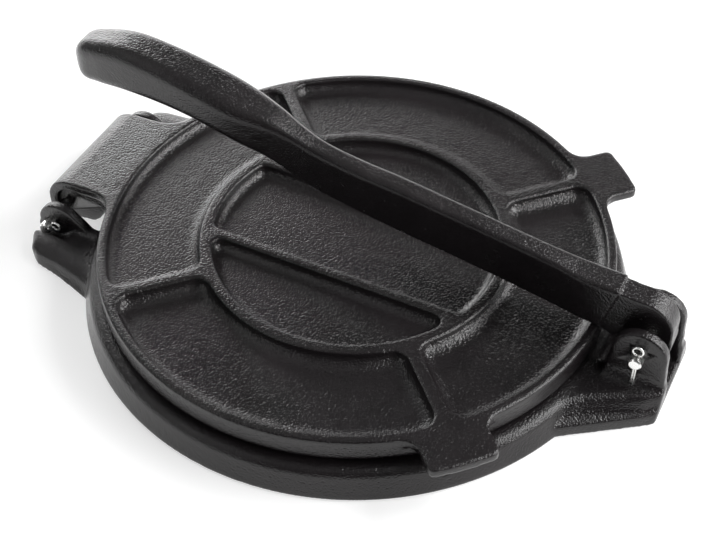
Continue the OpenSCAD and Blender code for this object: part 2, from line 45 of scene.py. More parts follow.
# Upper plate
PLATE_R = 101.5
PLATE_Z = 12.8
PLATE_TOP = 24.4
PLATE_EDGE_R = 0.9
UNDER_EDGE = ((3.4, 0), (0.4, 1.7), (0, 2.4))  # in from the rim and up from the underside
RIM_W = 3.7
HUB_R = 57.0
ROUND_RIB_W = 4.6
MID_POCKET_W = 41.2
STRAIGHT_RIB_W = 4.1
SPOKE_W = 5.0
SPOKE_ANGLE = 45.0
POCKET_DEPTH = 4.6
OUTER_CORNER = 6.0
INNER_CORNER = 4.0
OUTER_GAP = 1.0  # degrees between a corner's last point and the round stretch beside it
INNER_GAP = 1.5
OUTER_COVE = 5.4
INNER_COVE = 3.6
COVE_LIP = 0.8
COVE_DRAFT = 0.15
COVE_STEPS = 9
LID_H = 3.0
TAB_W = 26.0
TAB_REACH = 14.9
TAB_T = 4.0
TAB_CORNER = 2.5
TAB_FILLET = 7.0
JOIN_R = PLATE_R - RIM_W + 0.7  # the tabs and the hinge block start here, inside the rim
CORE_TOP = 40.0

# Hinge block and its lugs
HINGE_Y = 124.4
HINGE_Z = 8.0
BLOCK_W = 49.8
BLOCK_FILLET = 12.5
BLOCK_FALL = 0.9
ROLL_R = 12.2
ROLL_START = 87
SKIN_T = 4.0
SKIN_TUCK = 12.0
SKIN_HANG = 3.0
LUG_R = 7.0
LUG_W = 3.0
LUG_INSET = 3.0
LUG_TUCK = 3.0
LUG_END = -115
LUG_THROAT = [(112, 3.1), (109.2, 5.4), (107.5, 7.9), (105.7, 10.3), (103.2, 13.0)]

# Base disc, with a recess underneath
BASE_R = 109.0
BASE_H = 12.4
WALL_LEAN = 2.5
SHOULDER_R = 4.0
RECESS = 6.2
RECESS_R = 2.5
RING_W = 12.0
RING_TOE = ((1.5, 0.6), (2.4, 0))  # out from the recess and up from the table
WALL_TOE_IN = 0.8
WALL_TOE_UP = 0.9
WALL_SWELL = 0.1
PAD_R = 16.0
PAD_TOP_R = 15.0
BASE_RIB_T = 6.0
RIB_SINK = 1.0

# Clevis and lever pivot
PIVOT_Y = -119.2
PIVOT_Z = 25.7
CLEVIS_IN = 8.6
CLEVIS_OUT = 13.0
CLEVIS_R = 10.4
CLEVIS_FRONT = PIVOT_Y - CLEVIS_R
CLEVIS_REAR = PIVOT_Y + CLEVIS_R
FRONT_Y = -131.4
SLOT_FLOOR = 5.0
SLOT_TOP = 60.0

# Front foot
FOOT_CORNER = 0.6
# Its half width at seven distances along Y, at the table and at each level above it
FOOT_Y = (-131.3, -126, PIVOT_Y, -112, -106, -101, -97.5)
FOOT_LEVELS = (
    (0, (19.7, 23.3, 28, 33, 37.1, 40.6, 44)),
    (5, (18.9, 22.7, 27.5, 32.5, 36.7, 40.2, 43.2)),
    (5.5, (18.4, 22.2, 27, 32, 36.2, 39.7, 42.7)),
    (5.9, (17.9, 21.2, 25.5, 30, 34, 38.2, 41.8)),
    (6.7, (17, 20.4, 24.2, 28.5, 32.4, 36.6, 40.6)),
    (8.4, (16.2, 19.7, 23.1, 27.1, 30.9, 35.2, 39.6)),
    (9.8, (15.7, 19.2, 22.3, 26.1, 29.8, 34.2, 39)),
    (11, (15.1, 18.6, 21.4, 25, 28.6, 33, 38)),
    (11.8, (14.7, 17.8, 20.2, 23.6, 27.1, 31.4, 36.4)),
    (12.1, (14.3, 16.9, 18.8, 22, 25.4, 29.6, 34.6)))

# Concave root of the clevis ears
ROOT_Z = 12.2
ROOT_H = 7.0
ROOT_STEPS = 6
ROOT_INNER = CLEVIS_IN - 3
# Half outlines where the root leaves the foot and where it meets the ears
ROOT_LINE = [
    (CLEVIS_OUT + 0.9, FOOT_Y[0]), (CLEVIS_OUT + 1.2, FOOT_Y[0] + 0.4), (CLEVIS_OUT + 3.6, -126),
    (CLEVIS_OUT + 4.4, PIVOT_Y), (CLEVIS_OUT + 4.4, -113), (CLEVIS_OUT + 4.2, -107),
    (CLEVIS_OUT + 1, -105.4), (ROOT_INNER, -104.8)]
NECK_LINE = [
    (CLEVIS_OUT - 0.6, CLEVIS_FRONT - 0.6), (CLEVIS_OUT - 0.4, CLEVIS_FRONT), (CLEVIS_OUT - 0.3, -126),
    (CLEVIS_OUT - 0.3, PIVOT_Y), (CLEVIS_OUT - 0.3, -113), (CLEVIS_OUT - 0.4, CLEVIS_REAR),
    (CLEVIS_OUT - 0.8, CLEVIS_REAR + 0.8), (ROOT_INNER, CLEVIS_REAR + 1.2)]

# Below the round of a clevis ear, as (y, z) points
CLEVIS_SKIRT = [
    (CLEVIS_FRONT - 0.6, 16), (FOOT_Y[0] + 0.2, 3), (CLEVIS_REAR + 1.8, 3), (CLEVIS_REAR + 1, 13)]

# Rear arms and their ears
EAR_IN = 30.5
EAR_OUT = 34.5
EAR_BACK = 130.2
EAR_H = 18.2
EAR_TOP_R = 10.8
ARM_H = 8.0
ARM_FULL_H = 4.4
ARM_STEPS = 6
VALLEY_W = 5.4
VALLEY_Y = HINGE_Y - LUG_R + 1.5
# The valley beside an ear and the foot of an ear, as (y, z) points
VALLEY_LINE = [
    (VALLEY_Y - 7.5, ARM_H + 1), (VALLEY_Y - 2.5, 4.6), (VALLEY_Y, 3.2), (HINGE_Y + 20, 2.4),
    (HINGE_Y + 20, ARM_H + 1)]
EAR_SKIRT = [(PLATE_R + 4, BASE_H - 3), (PLATE_R - 4, BASE_H - 3.4), (PLATE_R - 4, 0), (EAR_BACK, 0)]
# The right arm's outline at the table, at its fullest and along its crest
ARM_FOOT_LINE = [
    (EAR_IN, 95), (59.7, 90), (57.7, 96.1), (56.2, 100.4), (53.1, 111.1), (51.2, 120.6), (49.6, 123),
    (42, 126.6), (EAR_OUT, 129.8), (EAR_IN, 129.8)]
ARM_FULL_LINE = [
    (EAR_IN, 95), (58.2, 89), (55.4, 95), (53.8, 100), (51.1, 111), (50.1, 121), (48.2, 124.9),
    (42, 128.6), (EAR_OUT, EAR_BACK + 0.9), (EAR_IN, EAR_BACK)]
ARM_CREST_LINE = [
    (EAR_IN, 95), (50, 90), (46, 95), (43.6, 99.5), (41.2, 110), (42, 119), (41.6, 123.4),
    (38.6, 126.8), (EAR_OUT, 129.2), (EAR_IN, 129.2)]

# Lever, whose heel and arm run back from the pin to the crank and the grip
TANG_W = 9.4
TANG_Y = -116.2
TANG_Z = 31.6
TANG_R = 12.1
KNUCKLE_R = 9.4
HEEL_RUN = 19.7
HEEL_Y = PIVOT_Y + HEEL_RUN
HEEL_Z = 24.7
# From the heel up to the top of the tang, as (y, z) points
TANG_BACK = [(HEEL_Y, HEEL_Z + 1), (HEEL_Y + 3, HEEL_Z + 2.5), (-98, 44.3), (-107, 44.3)]
ARM_LEN = 135.4
ARM_RUN = ARM_LEN - HEEL_RUN
ARM_RISE = 19.8
CRANK_Z = HEEL_Z + ARM_RISE
GRIP_LEN = 104.3
GRIP_RISE = 21.9
EDGE_FLAT = 0.2  # at least this much is left flat on each side of a section's middle
EDGE_STEPS = 6
STATION_STEPS = 6
# Run from the pin, height of the underside, depth, width, edge rounding and slant of the end
LEVER_STATIONS = [
    (HEEL_RUN - 1.8, HEEL_Z, 20.8, 11.2, 1.6, 5.4),
    (HEEL_RUN + 4, HEEL_Z + 0.8, 20.6, 11.2, 1.8, 0),
    (HEEL_RUN + 18, HEEL_Z + 0.13 * ARM_RISE, 21.2, 9.4, 2.0, 0),
    (HEEL_RUN + 0.44 * ARM_RUN, HEEL_Z + 0.41 * ARM_RISE, 21.2, 8.8, 2.2, 0),
    (HEEL_RUN + 0.72 * ARM_RUN, HEEL_Z + 0.667 * ARM_RISE, 21.2, 8.8, 2.2, 0),
    (HEEL_RUN + 0.86 * ARM_RUN, HEEL_Z + 0.81 * ARM_RISE, 20.6, 8.8, 2.6, 0),
    (ARM_LEN, CRANK_Z, 20.4, 8.8, 2.6, 0),
    (ARM_LEN + 0.078 * GRIP_LEN, CRANK_Z + 0.17 * GRIP_RISE, 20.2, 9.9, 2.8, 0),
    (ARM_LEN + 0.156 * GRIP_LEN, CRANK_Z + 0.4 * GRIP_RISE, 19.1, 13.2, 3.8, 0),
    (ARM_LEN + 0.311 * GRIP_LEN, CRANK_Z + 0.685 * GRIP_RISE, 17.7, 19.4, 5, 0),
    (ARM_LEN + 0.467 * GRIP_LEN, CRANK_Z + 0.895 * GRIP_RISE, 17.4, 19.8, 5, 0),
    (ARM_LEN + 0.62 * GRIP_LEN, CRANK_Z + 0.98 * GRIP_RISE, 19.0, 18.8, 5, 0),
    (ARM_LEN + 0.777 * GRIP_LEN, CRANK_Z + GRIP_RISE, 20.2, 18.0, 5, 0),
    (ARM_LEN + 0.9 * GRIP_LEN, CRANK_Z + 0.95 * GRIP_RISE, 19.2, 16.2, 5, 0),
    (ARM_LEN + 0.97 * GRIP_LEN, CRANK_Z + 0.95 * GRIP_RISE, 16.4, 12.8, 4, 0),
    (ARM_LEN + GRIP_LEN, CRANK_Z + 1.06 * GRIP_RISE, 10.4, 7.8, 3, 0)]

# Pins, bores and split cotters
PIN_R = 2.5
TURNING_BORE_R = 2.58
FIXED_BORE_R = TURNING_BORE_R - 0.03
CLEVIS_BORE = CLEVIS_OUT + OVER
EAR_BORE = EAR_OUT + 3
LEVER_BORE = 12.0
COTTER_OUT = 2.4
LEG_D = 0.9
LEG_GAP = 0.06
EYE_R = 1.9
EYE_LIFT = 0.1
HINGE_LEG = 3.6
HINGE_COTTER_TILT = 70
LEVER_LEG = 12.0
LEVER_LEG_EXTRA = 1.0

# Lamp panels as azimuth, elevation and brightness: behind and beside the press, then in front of it
BACK_PANELS = (
    (5, 8, 1.0), (30, 8, 1.3), (50, 8, 5.3), (75, 8, 3.6), (5, 16, 1.7), (30, 16, 3.1), (50, 16, 4.0),
    (50, 23, 3.2), (50, 30, 2.9), (75, 34, 0.6), (5, 45, 0.2), (5, 60, 0.4), (75, 60, 0.8))
FRONT_PANELS = (
    (-55, 22, 9), (-55, 45, 15.5), (-90, 20, 12), (-90, 45, 4), (0, 85, 0.6), (120, 48, 1.8),
    (145, 28, 1.5), (-150, 60, 0.7))
PANEL_DISTANCE = 1.3
BACK_PANEL_SIZE = (0.65, 0.24)
FRONT_PANEL_SIZE = (0.5, 0.4)

# The photo's camera: heading, height and roll in degrees, lens in millimetres, place in metres
CAMERA_ANGLES = (-63.12, 45.95, -0.61)
CAMERA_LENS = 67.7
CAMERA_PLACE = (-0.3365, -0.1711, 0.3942)


def arc(cx, cy, r, start, end, steps):
    """Points along an arc, with angles in degrees."""
    turn = [math.radians(start + (end - start) * k / steps) for k in range(steps + 1)]
    return [(cx + r * math.cos(a), cy + r * math.sin(a)) for a in turn]


def polar(r, angle):
    return r * math.cos(math.radians(angle)), r * math.sin(math.radians(angle))


def on_circle(x, r):
    """The Y and the angle of the point on a circle that has a given X."""
    y = math.sqrt(r ** 2 - x ** 2)
    return y, math.degrees(math.atan2(y, x))


def root_fillet(half_w, r, fillet):
    """The concave corner between a straight side and a disc, from the side to the disc."""
    cx = half_w + fillet
    cy, a = on_circle(cx, r + fillet)
    return arc(cx, cy, fillet, 180, 180 + a, steps=8)


def mirrored(half):
    """A half outline and its mirror image, with no point twice on the middle line."""
    return half + [(-x, y) for x, y in reversed(half) if x > 0]


def between(a, b, share):
    """An outline part of the way from one to another."""
    return [(p[0] + (q[0] - p[0]) * share, p[1] + (q[1] - p[1]) * share) for p, q in zip(a, b)]


def linked(name, data):
    """A new object in the scene."""
    obj = bpy.data.objects.new(name, data)
    bpy.context.scene.collection.objects.link(obj)
    return obj


def mesh_object(bm, name):
    """A new object of a bmesh, which is used up."""
    mesh = bpy.data.meshes.new(name)
    bm.to_mesh(mesh)
    bm.free()
    return linked(name, mesh)


def solid(bm, name):
    """A new object of a bmesh, with its doubles merged and its faces turned outwards."""
    bmesh.ops.remove_doubles(bm, verts=bm.verts, dist=1e-4)
    bmesh.ops.recalc_face_normals(bm, faces=bm.faces)
    return mesh_object(bm, name)


def outline_face(bm, points, height):
    """A flat face from an outline of (x, y) points."""
    return bm.faces.new([bm.verts.new((x, y, height)) for x, y in points])


def raise_face(bm, face, height):
    """Extrudes a flat face upwards, which leaves the face itself as the floor."""
    raised = bmesh.ops.extrude_face_region(bm, geom=[face])
    lid = [v for v in raised["geom"] if isinstance(v, bmesh.types.BMVert)]
    bmesh.ops.translate(bm, verts=lid, vec=(0, 0, height))


def prism(name, points, low, high):
    """An outline raised from one height to another."""
    bm = bmesh.new()
    raise_face(bm, outline_face(bm, points, low), high - low)
    return solid(bm, name)


def side_prism(name, points, left, right):
    """An outline of (y, z) points, given a width along X."""
    obj = prism(name, points, left, right)
    obj.data.transform(Matrix(((0, 0, 1, 0), (1, 0, 0, 0), (0, 1, 0, 0), (0, 0, 0, 1))))
    return obj


def turned(name, profile):
    """A profile of (radius, height) points turned round Z."""
    bm = bmesh.new()
    verts = [bm.verts.new((r, 0, z)) for r, z in profile]
    edges = [bm.edges.new(pair) for pair in zip(verts, verts[1:])]
    bmesh.ops.spin(bm, geom=verts + edges, cent=(0, 0, 0), axis=(0, 0, 1), angle=math.tau,
                   steps=TURN_STEPS, use_merge=True, use_duplicate=False)
    return solid(bm, name)


def loft(name, rings):
    """A closed solid through rings of (x, y, z) points, all with equally many points."""
    bm = bmesh.new()
    loops = []
    for ring in rings:
        verts = [bm.verts.new(p) for p in ring]
        loops.append([bm.edges.new((verts[k - 1], verts[k])) for k in range(len(verts))])
    for low, high in zip(loops, loops[1:]):
        bmesh.ops.bridge_loops(bm, edges=low + high)
    for end in (loops[0], loops[-1]):
        bmesh.ops.edgeloop_fill(bm, edges=end)
    return solid(bm, name)


def evaluated(obj):
    """Replaces an object's mesh with what its modifiers make of it."""
    deps = bpy.context.evaluated_depsgraph_get()
    mesh = bpy.data.meshes.new_from_object(obj.evaluated_get(deps))
    old = obj.data
    obj.modifiers.clear()
    obj.data = mesh
    bpy.data.meshes.remove(old)
    return obj


def drop(obj):
    mesh = obj.data
    bpy.data.objects.remove(obj)
    bpy.data.meshes.remove(mesh)


def joined(name, parts):
    """One mesh with all the parts' faces, which may pass through each other."""
    bm = bmesh.new()
    for part in parts:
        bm.from_mesh(part.data)
        drop(part)
    return mesh_object(bm, name)


def cut(obj, cutter, operation="DIFFERENCE"):
    """Cuts or clips a solid with another one, which is used up."""
    mod = obj.modifiers.new("cut", "BOOLEAN")
    mod.object = cutter
    mod.operation = operation
    mod.solver = "EXACT"
    evaluated(obj)
    drop(cutter)
    return obj


def bore(casting, r, half_length, y, z):
    """Bores a round hole along X, as far as half_length to each side of the middle."""
    sides = 64
    circle = arc(y, z, r, 0, 360 * (sides - 1) / sides, sides - 1)
    cut(casting, side_prism("bore", circle, -half_length, half_length))
    casting.data.shade_smooth()


def cast(obj, voxel, rounds, limit):
    """Fuses a solid into one casting with softened edges, and keeps its triangles under a limit."""
    mod = obj.modifiers.new("fuse", "REMESH")
    mod.mode = "VOXEL"
    mod.voxel_size = voxel
    mod.adaptivity = 0.0
    mod = obj.modifiers.new("soften", "SMOOTH")
    mod.factor = 0.5
    mod.iterations = rounds
    evaluated(obj)
    triangles = sum(len(p.vertices) - 2 for p in obj.data.polygons)
    if triangles > limit:
        mod = obj.modifiers.new("thin", "DECIMATE")
        mod.ratio = limit / triangles
        evaluated(obj)
    obj.data.shade_smooth()


def settle(obj, body, material, node):
    """Scales a piece to metres and ties it to its body, its material and the node it replaces."""
    obj.data.transform(Matrix.Scale(MM, 4))
    obj.data.materials.clear()
    obj.data.materials.append(material)
    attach(obj, body)
    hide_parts(node)


def pocket_cutter(points, cove_width):
    """A pocket's outline, closed by a lid above the plate and sunk in steps that make its wall and cove."""
    bm = bmesh.new()
    floor = outline_face(bm, points, PLATE_TOP)
    raise_face(bm, floor, LID_H)
    for inward, down in cove(cove_width):
        bmesh.ops.inset_region(bm, faces=[floor], thickness=inward, depth=0, use_even_offset=True)
        bmesh.ops.translate(bm, verts=floor.verts, vec=(0, 0, -down))
    return solid(bm, "pocket")


def cove(width):
    """Steps inward and down from a pocket's edge: a short drafted wall that runs into a broad cove."""
    steps = [(COVE_DRAFT, COVE_LIP)]
    depth = POCKET_DEPTH - COVE_LIP
    for k in range(COVE_STEPS):
        a, b = (math.radians(90 / COVE_STEPS * n) for n in (k, k + 1))
        steps.append((width * (math.cos(a) - math.cos(b)), depth * (math.sin(b) - math.sin(a))))
    return steps


def ring_pocket(r_in, r_out, start, end):
    """The outline of a pocket between two radii, whose sides run beside radial spokes."""
    corner = OUTER_CORNER
    a_in = math.degrees(math.asin((SPOKE_W / 2 + corner) / (r_in + corner)))
    a_out = math.degrees(math.asin((SPOKE_W / 2 + corner) / (r_out - corner)))
    return (arc(*polar(r_out - corner, start + a_out), corner, start - 90, start + a_out, steps=7)
            + arc(0, 0, r_out, start + a_out + OUTER_GAP, end - a_out - OUTER_GAP, steps=48)
            + arc(*polar(r_out - corner, end - a_out), corner, end - a_out, end + 90, steps=7)
            + arc(*polar(r_in + corner, end - a_in), corner, end + 90, end - a_in + 180, steps=7)
            + arc(0, 0, r_in, end - a_in - OUTER_GAP, start + a_in + OUTER_GAP, steps=36)
            + arc(*polar(r_in + corner, start + a_in), corner, start + a_in + 180, start + 270, steps=7))


def d_pocket(side):
    """The outline of the pocket between a straight rib and the round rib."""
    cx = MID_POCKET_W / 2 + STRAIGHT_RIB_W + INNER_CORNER
    cy, a = on_circle(cx, HUB_R - INNER_CORNER)
    points = (arc(cx, -cy, INNER_CORNER, 180, 360 - a, steps=8)
              + arc(0, 0, HUB_R, INNER_GAP - a, a - INNER_GAP, steps=40)
              + arc(cx, cy, INNER_CORNER, a, 180, steps=8))
    return [(side * x, y) for x, y in points][::side]


def middle_pocket():
    """The outline of the pocket between the two straight ribs."""
    cx = MID_POCKET_W / 2 - INNER_CORNER
    cy, a = on_circle(cx, HUB_R - INNER_CORNER)
    return (arc(cx, cy, INNER_CORNER, 0, a, steps=7)
            + arc(0, 0, HUB_R, a + INNER_GAP, 180 - INNER_GAP - a, steps=14)
            + arc(-cx, cy, INNER_CORNER, 180 - a, 180, steps=7)
            + arc(-cx, -cy, INNER_CORNER, 180, 180 + a, steps=7)
            + arc(0, 0, HUB_R, 180 + INNER_GAP + a, 360 - INNER_GAP - a, steps=14)
            + arc(cx, -cy, INNER_CORNER, 360 - a, 360, steps=7))


def pocket_cutters():
    front = SPOKE_ANGLE - 90
    spans = ((front, -front), (-front, 180 + front), (180 + front, 180 - front), (180 - front, 360 + front))
    outer = [ring_pocket(HUB_R + ROUND_RIB_W, PLATE_R - RIM_W, *span) for span in spans]
    inner = [d_pocket(1), d_pocket(-1), middle_pocket()]
    return joined("pockets", [pocket_cutter(points, OUTER_COVE) for points in outer]
                  + [pocket_cutter(points, INNER_COVE) for points in inner])


def tab(side):
    """A lifting tab with round corners and filleted roots."""
    r = PLATE_R + TAB_REACH
    cx = TAB_W / 2 - TAB_CORNER
    cy, a = on_circle(cx, r - TAB_CORNER)
    within_disc = (TAB_W / 2 + 2, PLATE_R - 6)
    half = (arc(0, 0, r, 89.5, a + 1, steps=4) + arc(cx, cy, TAB_CORNER, a, 0, steps=4)
            + root_fillet(TAB_W / 2, PLATE_R, TAB_FILLET) + [within_disc])
    obj = prism("tab", mirrored(half), PLATE_TOP - TAB_T, PLATE_TOP)
    obj.data.transform(Matrix.Rotation(math.radians(180 + side * SPOKE_ANGLE), 4, "Z"))
    return obj


def hinge_block():
    """The block behind the plate: a skin that rolls down at the back, closed by a lug at each end."""
    roll_y = HINGE_Y + LUG_R - ROLL_R
    roll_z = PLATE_TOP - BLOCK_FALL - ROLL_R
    roll = [(PLATE_R, PLATE_TOP)] + arc(roll_y, roll_z, ROLL_R, ROLL_START, 0, steps=20)
    front, back, low = PLATE_R - SKIN_TUCK, roll_y + ROLL_R, HINGE_Z - SKIN_HANG
    skin = ([(front, PLATE_TOP)] + roll + [(back, low), (back - SKIN_T, low)]
            + arc(roll_y, roll_z, ROLL_R - SKIN_T, 0, 90, steps=14) + [(front, PLATE_TOP - SKIN_T)])
    reach = BLOCK_W / 2 + BLOCK_FILLET
    block = side_prism("skin", skin[::-1], -reach, reach)
    within_disc = PLATE_R - 16
    plan = ([(0, back + OVER), (BLOCK_W / 2, back + OVER)] + root_fillet(BLOCK_W / 2, PLATE_R, BLOCK_FILLET)
            + [(BLOCK_W / 2 + 4, within_disc), (0, within_disc)])
    cut(block, prism("plan", mirrored(plan), -OVER, PLATE_TOP + OVER), "INTERSECT")
    lug = ([(PLATE_R - LUG_TUCK, PLATE_TOP)] + roll + arc(HINGE_Y, HINGE_Z, LUG_R, 0, LUG_END, steps=18)
           + LUG_THROAT + [(PLATE_R - LUG_TUCK, PLATE_Z + 3)])
    lug_out = BLOCK_W / 2 - LUG_INSET
    lug_in = lug_out - LUG_W
    spans = ((-lug_out, -lug_in), (lug_in, lug_out))
    return [block] + [side_prism("lug", lug[::-1], *span) for span in spans]


def disc_profile():
    """The upper plate's section, from the middle of its pressing face round to the middle of its top."""
    return ([(0, PLATE_Z)] + [(PLATE_R - inward, PLATE_Z + up) for inward, up in UNDER_EDGE]
            + arc(PLATE_R - PLATE_EDGE_R, PLATE_TOP - PLATE_EDGE_R, PLATE_EDGE_R, 0, 90, steps=5)
            + [(0, PLATE_TOP)])


def upper_plate(iron):
    """The pressing plate with its pockets, to which the tabs and the hinge block are added."""
    plate = turned("upper_plate_casting", disc_profile())
    cut(plate, pocket_cutters())
    core = [(0, -OVER), (JOIN_R, -OVER), (JOIN_R, CORE_TOP), (0, CORE_TOP)]
    added = [cut(part, turned("core", core)) for part in [tab(-1), tab(1)] + hinge_block()]
    plate = joined("upper_plate_casting", [plate] + added)
    cast(plate, voxel=0.6, rounds=7, limit=190000)
    bore(plate, TURNING_BORE_R, BLOCK_W, HINGE_Y, HINGE_Z)
    settle(plate, "upper_plate", iron, "upper_plate")


def base_profile():
    """The base disc's section, from the middle of its underside round to the middle of its pressing face."""
    ring = BASE_R - RING_W
    shoulder_z = BASE_H - SHOULDER_R
    recess = arc(ring - RECESS_R, RECESS - RECESS_R, RECESS_R, 90, 20, steps=5)
    shoulder = arc(BASE_R - WALL_LEAN - SHOULDER_R, shoulder_z, SHOULDER_R, 0, 90, steps=10)
    wall = [(BASE_R - WALL_TOE_IN, 0), (BASE_R, WALL_TOE_UP), (BASE_R - WALL_LEAN + WALL_SWELL, shoulder_z)]
    return ([(0, RECESS), (ring - RECESS_R, RECESS)] + recess + [(ring + out, up) for out, up in RING_TOE]
            + wall + shoulder + [(0, BASE_H)])


def level_ring(half, z):
    """A half outline and its mirror image at one height."""
    return [(x, y, z) for x, y in mirrored(half)]


def front_foot():
    """The foot in front of the disc: a ledge, a tier that flows into the disc, and the ears' concave root."""
    rings = []
    for z, widths in FOOT_LEVELS:
        nose = [(widths[0] - FOOT_CORNER, FOOT_Y[0]), (widths[0], FOOT_Y[0] + FOOT_CORNER)]
        rings.append(level_ring(nose + list(zip(widths[1:], FOOT_Y[1:])), z))
    for k in range(ROOT_STEPS + 1):
        a = math.radians(90 / ROOT_STEPS * k)
        outline = between(ROOT_LINE, NECK_LINE, math.sin(a))
        rings.append(level_ring(outline, ROOT_Z + ROOT_H * (1 - math.cos(a))))
    foot = loft("foot", rings)
    front, back = FRONT_Y - 1, -PLATE_R - 3
    slot = [(-CLEVIS_IN, front), (CLEVIS_IN, front), (CLEVIS_IN, back), (-CLEVIS_IN, back)]
    return cut(foot, prism("slot", slot, SLOT_FLOOR, SLOT_TOP))


def clevis_ears():
    """The two ears that carry the lever pin, round above and broad in the foot."""
    side = arc(PIVOT_Y - 0.1, PIVOT_Z, CLEVIS_R, 0, 180, steps=40) + CLEVIS_SKIRT
    spans = ((-CLEVIS_OUT, -CLEVIS_IN), (CLEVIS_IN, CLEVIS_OUT))
    return [side_prism("ear", side, *span) for span in spans]


def rear_arms():
    """The two arms behind the disc, each with a round crest, a bored ear and a valley beside it."""
    ear = arc(EAR_BACK - EAR_TOP_R, EAR_H - EAR_TOP_R, EAR_TOP_R, 0, 125, steps=24) + EAR_SKIRT
    levels = [(ARM_FOOT_LINE, 0), (between(ARM_FOOT_LINE, ARM_FULL_LINE, 0.6), ARM_FULL_H / 2),
              (ARM_FULL_LINE, ARM_FULL_H)]
    for k in range(1, ARM_STEPS + 1):
        a = math.radians(90 / ARM_STEPS * k)
        levels.append((between(ARM_FULL_LINE, ARM_CREST_LINE, 1 - math.cos(a)),
                       ARM_FULL_H + (ARM_H - ARM_FULL_H) * math.sin(a)))
    parts = []
    for side in (-1, 1):
        arm = loft("arm", [[(side * x, y, high) for x, y in line] for line, high in levels])
        cut(arm, side_prism("valley", VALLEY_LINE, *sorted((side * EAR_OUT, side * (EAR_OUT + VALLEY_W)))))
        parts += [arm, side_prism("ear", ear, *sorted((side * EAR_IN, side * EAR_OUT)))]
    return parts


def middle_pad():
    """The round pad under the middle of the base."""
    bm = bmesh.new()
    height = RECESS + RIB_SINK
    bmesh.ops.create_cone(bm, cap_ends=True, segments=96, radius1=PAD_R, radius2=PAD_TOP_R, depth=height,
                          matrix=Matrix.Translation((0, 0, height / 2)))
    return solid(bm, "pad")


def base_rib(angle):
    """A straight rib across the recess under the base."""
    bm = bmesh.new()
    height = RECESS + RIB_SINK
    bmesh.ops.create_cube(bm, size=1, matrix=Matrix.Rotation(math.radians(angle), 4, "Z")
                          @ Matrix.Translation((0, 0, height / 2))
                          @ Matrix.Diagonal((2 * BASE_R - RING_W, BASE_RIB_T, height, 1)))
    return solid(bm, "rib")


def base(iron):
    """The disc with its underside, the front foot with the clevis, and the rear arms with their ears."""
    parts = [turned("disc", base_profile()), middle_pad()] + [base_rib(angle) for angle in (0, 60, 120)]
    casting = joined("base_casting", parts + [front_foot()] + clevis_ears() + rear_arms())
    cast(casting, voxel=0.6, rounds=9, limit=195000)
    bore(casting, FIXED_BORE_R, CLEVIS_BORE, PIVOT_Y, PIVOT_Z)
    bore(casting, FIXED_BORE_R, EAR_BORE, HINGE_Y, HINGE_Z)
    settle(casting, "base", iron, "base")


def hermite(start, end, slope_start, slope_end, t):
    """A smooth value between two others, with a given slope at each."""
    return (start * (2 * t ** 3 - 3 * t ** 2 + 1) + slope_start * (t ** 3 - 2 * t ** 2 + t)
            + end * (3 * t ** 2 - 2 * t ** 3) + slope_end * (t ** 3 - t ** 2))


def station(i, t):
    """A smooth lever station between station i and the next one."""
    s = LEVER_STATIONS
    a, b, c, d = s[max(i - 1, 0)], s[i], s[i + 1], s[min(i + 2, len(s) - 1)]
    ab, bc, cd = max(b[0] - a[0], 1), c[0] - b[0], max(d[0] - c[0], 1)
    values = []
    for pa, pb, pc, pd in zip(a, b, c, d):
        slope_b = pc - pb if i == 0 else ((pb - pa) / ab + (pc - pb) / bc) / 2 * bc
        slope_c = pc - pb if i == len(s) - 2 else ((pc - pb) / bc + (pd - pc) / cd) / 2 * bc
        values.append(hermite(pb, pc, slope_b, slope_c, t))
    return values


def lever_ring(values):
    """The lever's section at a station: a rectangle with rounded edges."""
    run, low, depth, width, r, slant = values
    r = min(r, width / 2 - EDGE_FLAT, depth / 2 - EDGE_FLAT)
    ring = []
    for quarter in range(4):
        cx = (width / 2 - r) * (1 if quarter in (0, 3) else -1)
        cz = depth - r if quarter < 2 else r
        for k in range(EDGE_STEPS + 1):
            x, z = polar(r, 90 * quarter + 90 / EDGE_STEPS * k)
            ring.append((cx + x, PIVOT_Y + run - slant * (cz + z) / depth, low + cz + z))
    return ring


def lever(iron):
    """The bar with its heel and cranked grip, and the tang with the knuckle between the clevis ears."""
    rings = [lever_ring(station(i, k / STATION_STEPS))
             for i in range(len(LEVER_STATIONS) - 1) for k in range(STATION_STEPS)]
    rings.append(lever_ring(LEVER_STATIONS[-1]))
    side = (arc(TANG_Y, TANG_Z, TANG_R, 85, 180, steps=24)
            + arc(PIVOT_Y, PIVOT_Z, KNUCKLE_R, 168, 322, steps=30) + TANG_BACK)
    tang = side_prism("tang", side, -TANG_W / 2, TANG_W / 2)
    casting = joined("lever_casting", [loft("bar", rings), tang])
    cast(casting, voxel=0.5, rounds=5, limit=190000)
    bore(casting, TURNING_BORE_R, LEVER_BORE, PIVOT_Y, PIVOT_Z)
    settle(casting, "lever", iron, "lever")


def wire(name, points, r):
    """A round wire along points, as a mesh."""
    curve = bpy.data.curves.new(name, "CURVE")
    curve.dimensions = "3D"
    curve.bevel_depth = r
    curve.bevel_resolution = 4
    curve.use_fill_caps = True
    spline = curve.splines.new("POLY")
    spline.points.add(len(points) - 1)
    for point, place in zip(spline.points, points):
        point.co = (*place, 1)
    obj = linked(name, curve)
    mesh = bpy.data.meshes.new_from_object(obj.evaluated_get(bpy.context.evaluated_depsgraph_get()))
    bpy.data.objects.remove(obj)
    bpy.data.curves.remove(curve)
    return linked(name, mesh)


